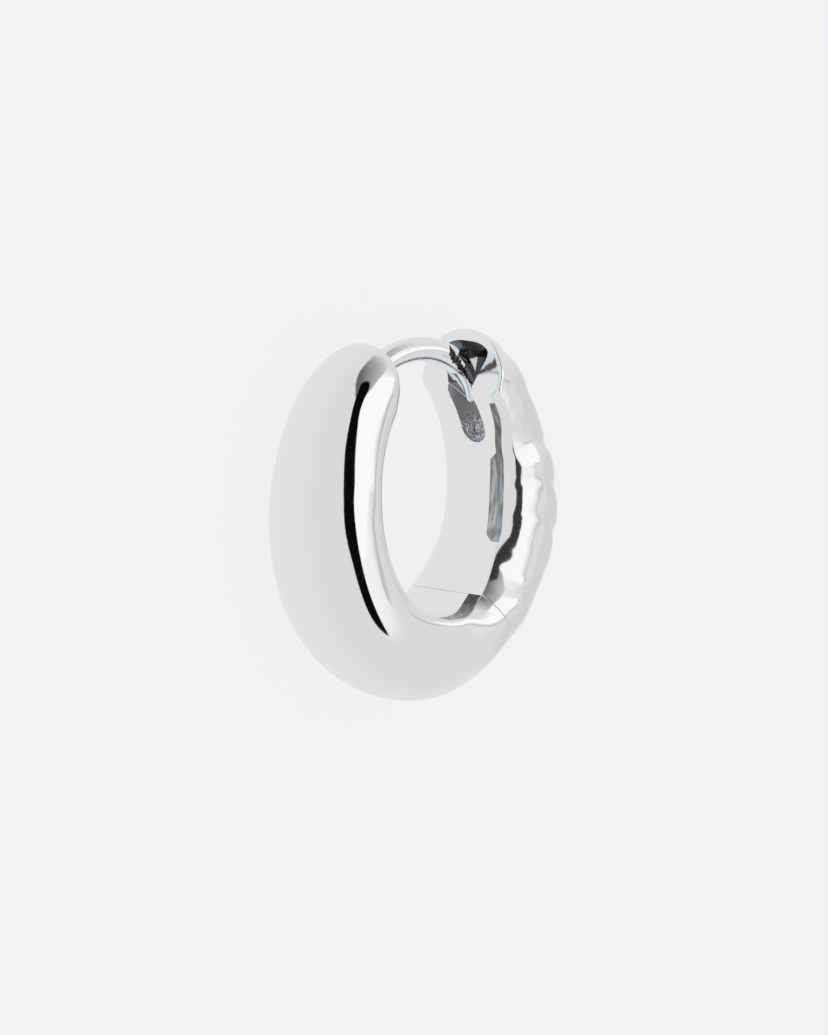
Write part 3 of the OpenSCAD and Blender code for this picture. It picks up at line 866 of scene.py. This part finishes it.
# name, grey, softness of its edge in degrees, outline
CARDS = [
    ("dim side", "d4d5d6", 14,
     [(340, 30), (350, 22), (5, 22), (10, 5), (5, -20), (340, -20), (330, 5)]),
    ("edge of the sheet", "f5f5f5", 16,
     [(20, 34), (0, 50), (340, 48), (320, 46), (300, 50), (290, 70), (160, 75), (100, 60), (60, 40)]),
    ("white sheet", "ffffff", 1.5,
     [(14, 29), (3, 38), (3, 45), (2, 50), (352, 58), (340, 65), (325, 70), (310, 74), (300, 80), (160, 80),
      (100, 70), (95, 60), (88, 50), (70, 44), (60, 46), (45, 46), (30, 42)]),
    ("grey card", "68696a", 3,
     [(60, 48), (80, 55), (96, 50), (104, 43), (103, 35), (101, 26), (93, 14), (78, 4), (64, -4), (52, 2),
      (45, 20)]),
    ("gap", "bcbdbe", 2,
     [(3, 31), (0, 38), (359, 43), (354, 47), (347, 50), (345, 48), (352, 45), (357, 41), (358, 36),
      (0, 31)]),
    ("black flag", "0a0a0a", 0.5,
     [(92, 35), (100, 42), (109, 49), (119, 55), (135, 61), (150, 66), (172, 68), (200, 67), (225, 69),
      (245, 69), (262, 65), (278, 57), (293, 51), (306, 47), (305, 56), (304, 65), (306, 75), (312, 84),
      (30, 86), (50, 80), (74, 75), (86, 69), (85, 62), (79, 56), (74, 50), (80, 42)]),
]
# the grey card bends away from the light: it runs from its own grey at one direction to a paler one
CARD_FADE = {"grey card": ("ebebec", (95, 33), (38, 18))}
print("cards:", ", ".join(card[0] for card in CARDS))

# %% [markdown]
# ## How a card is drawn
# Directions are awkward to draw with, because near the top a degree of compass angle is hardly any
# distance. So the tent is first laid out flat, as seen from straight above. There each outline is rounded
# into a smooth curve, as cloth and card bend, and each spot of the tent learns how far it is inside or
# outside of it.

# %% Helpers for cards
CURVE_PARTS = 8
TINY, FAR = 1e-9, 1e9


def flat_map(azimuth, height):
    """The tent seen from straight above, as a flat map with the top in its middle."""
    a = np.radians(azimuth)
    return np.stack([(90 - height) * np.cos(a), (90 - height) * np.sin(a)], -1)


def rounded(corners):
    """A smooth closed curve through the corners."""
    out = []
    n = len(corners)
    for i in range(n):
        p, q, r, s = (corners[(i + k) % n] for k in (-1, 0, 1, 2))
        square, cube = 2 * p - 5 * q + 4 * r - s, 3 * q - p - 3 * r + s
        for t in np.arange(CURVE_PARTS) / CURVE_PARTS:
            out.append(0.5 * (2 * q + (r - p) * t + square * t**2 + cube * t**3))
    return np.array(out)


def share_inside(points, curve_points, soft):
    """1 inside the curve, 0 outside, with a soft edge."""
    nearest = np.full(len(points), FAR)
    inside = np.zeros(len(points), bool)
    for a, b in zip(curve_points, np.roll(curve_points, -1, axis=0)):
        d = b - a
        t = np.clip((points - a) @ d / max(d @ d, TINY), 0, 1)
        nearest = np.minimum(nearest, np.linalg.norm(points - a - t[:, None] * d, axis=1))
        crosses = (a[1] > points[:, 1]) != (b[1] > points[:, 1])
        x = a[0] + (points[:, 1] - a[1]) * d[0] / (d[1] if abs(d[1]) > TINY else TINY)
        inside ^= crosses & (points[:, 0] < x)
    return ease(np.where(inside, nearest, -nearest) / soft + 0.5)


# %% Paint the cards
# height from which the tent darkens, and over how many degrees. low down the paper lights the cloth
DARKER_FROM, DARKER_REACH = -70, 110
heights, compass = np.arange(-90, 91), np.arange(360)
grid_h, grid_a = (grid.ravel() for grid in np.meshgrid(heights, compass, indexing="ij"))
spots = flat_map(grid_a, grid_h)
darker = ease((grid_h - DARKER_FROM) / DARKER_REACH)[:, None]
glow = np.array(linear(TENT_LOW)) * (1 - darker) + np.array(linear(TENT_HIGH)) * darker
for name, grey, soft, corners in CARDS:
    share = share_inside(spots, rounded([flat_map(*c) for c in corners]), soft)[:, None]
    tone = np.array(linear(grey))
    if name in CARD_FADE:
        paler, start, end = CARD_FADE[name]
        start, end = flat_map(*start), flat_map(*end)
        t = np.clip((spots - start) @ (end - start) / ((end - start) @ (end - start)), 0, 1)[:, None]
        tone = tone * (1 - t) + np.array(linear(paler)) * t
    glow = glow * (1 - share) + tone * share
print("the tent glows between", round(float(glow.min()), 3), "and", round(float(glow.max()), 3))

# %% [markdown]
# ## The tent
# The glow is kept as one colour for each point of the sphere, a colour attribute, and an emission shader
# shows it. An image could hold it too, but the attribute needs no file. The camera doesn't see the tent,
# and it lights only what mirrors it.

# %% The tent's mesh and cloth
TENT_R = 0.3
a, h = np.radians(grid_a), np.radians(grid_h)
tent_points = TENT_R * np.stack([np.cos(h) * np.cos(a), np.cos(h) * np.sin(a), np.sin(h)], -1)
first, beside, above, above_beside = between_rings(len(heights), len(compass))
tent_mesh = bpy.data.meshes.new("tent")
tent_mesh.from_pydata(tent_points.tolist(), [], np.stack([first, beside, above_beside, above], -1).tolist())
paint = tent_mesh.color_attributes.new("glow", "FLOAT_COLOR", "POINT")
paint.data.foreach_set("color", np.column_stack([glow, np.ones(len(glow))]).ravel())
tent_cloth = bpy.data.materials.new("tent_cloth")
tent_cloth.use_nodes = True
tree = tent_cloth.node_tree
tree.nodes.clear()
colour = add(tree, "ShaderNodeAttribute", attribute_name="glow")
shine = add(tree, "ShaderNodeEmission", [(colour, "Color", "Color")])
add(tree, "ShaderNodeOutputMaterial", [(shine, "Emission", "Surface")])
tent_cloth.cycles.emission_sampling = "NONE"
tent_mesh.materials.append(tent_cloth)
tent = put("tent", tent_mesh)
tent.visible_camera = tent.visible_diffuse = tent.visible_shadow = False
print("tent:", len(tent_mesh.polygons), "faces,", len(CARDS), "cards")

# %% [markdown]
# ## Floor
# The floor is a sheet of pale paper, lit so evenly that it glows by itself and takes hardly a shadow. Lamps
# would have to be many and soft for that, so most of its light is emission and only SHADE of it is left to
# shadows. The silver doesn't see it: it sees the tent all round.

# %% Floor
PAPER = linear("f2f2f2")
SHADE = 0.06
FLOOR_HALF = 5
paper = bpy.data.materials.new("pale_paper")
paper.use_nodes = True
shader = paper.node_tree.nodes["Principled BSDF"]
shader.inputs["Base Color"].default_value = (SHADE, SHADE, SHADE, 1)
shader.inputs["Roughness"].default_value = 1
shader.inputs["Specular IOR Level"].default_value = 0
shader.inputs["Emission Color"].default_value = (*[(1 - SHADE) * p for p in PAPER], 1)
shader.inputs["Emission Strength"].default_value = 1
paper.cycles.emission_sampling = "NONE"
floor_corners = [(FLOOR_HALF * x, FLOOR_HALF * y, 0) for x, y in ((-1, -1), (1, -1), (1, 1), (-1, 1))]
floor_mesh = bpy.data.meshes.new("floor")
floor_mesh.from_pydata(floor_corners, [], [[0, 1, 2, 3]])
floor_mesh.materials.append(paper)
floor = put("floor", floor_mesh)
floor.visible_glossy = False
world = bpy.data.worlds.new("studio")
bpy.context.scene.world = world
world.use_nodes = True
world.node_tree.nodes["Background"].inputs["Color"].default_value = (*PAPER, 1)
print("floor:", 2 * FLOOR_HALF, "m wide")

# %% [markdown]
# ## Camera
# The photograph was taken from far off for so small a thing: hardly anything converges. So the camera
# stands 1 m away and looks through a 1000 mm lens. An orthographic camera would be close to it, but the
# slight convergence is real. The three directions were fitted to the outline of the hoop.

# %% Camera
# the picture's right, its top and the way the camera looks
RIGHT = Vector((0.6718, 0.0339, 0.7399))
UP = Vector((0.0672, 0.9920, -0.1066))
LOOK = Vector((0.7377, -0.1213, -0.6642))
LENS, SENSOR, PX_PER_MM, PICTURE_H = 1000.0, 36, 28.61, 1035
# how far the picture's middle lies to the left of the hoop's centre and below it
AIM_LEFT, AIM_DOWN = 0.158, 0.843
aim = Vector(SEAT) - AIM_LEFT * RIGHT - AIM_DOWN * UP
distance = LENS * (PICTURE_H / PX_PER_MM) / SENSOR
lens = bpy.data.cameras.new("camera")
lens.lens = LENS
lens.sensor_width = SENSOR
lens.clip_start = 0.01
lens.clip_end = 50
camera = put("camera", lens)
facing = Matrix((RIGHT, UP, -LOOK)).transposed().to_4x4()
camera.matrix_world = Matrix.Translation(MM * (aim - distance * LOOK)) @ facing
bpy.context.scene.camera = camera
bpy.context.scene.view_settings.view_transform = "Standard"
print("camera", round(distance / 1000, 2), "m from the earring")
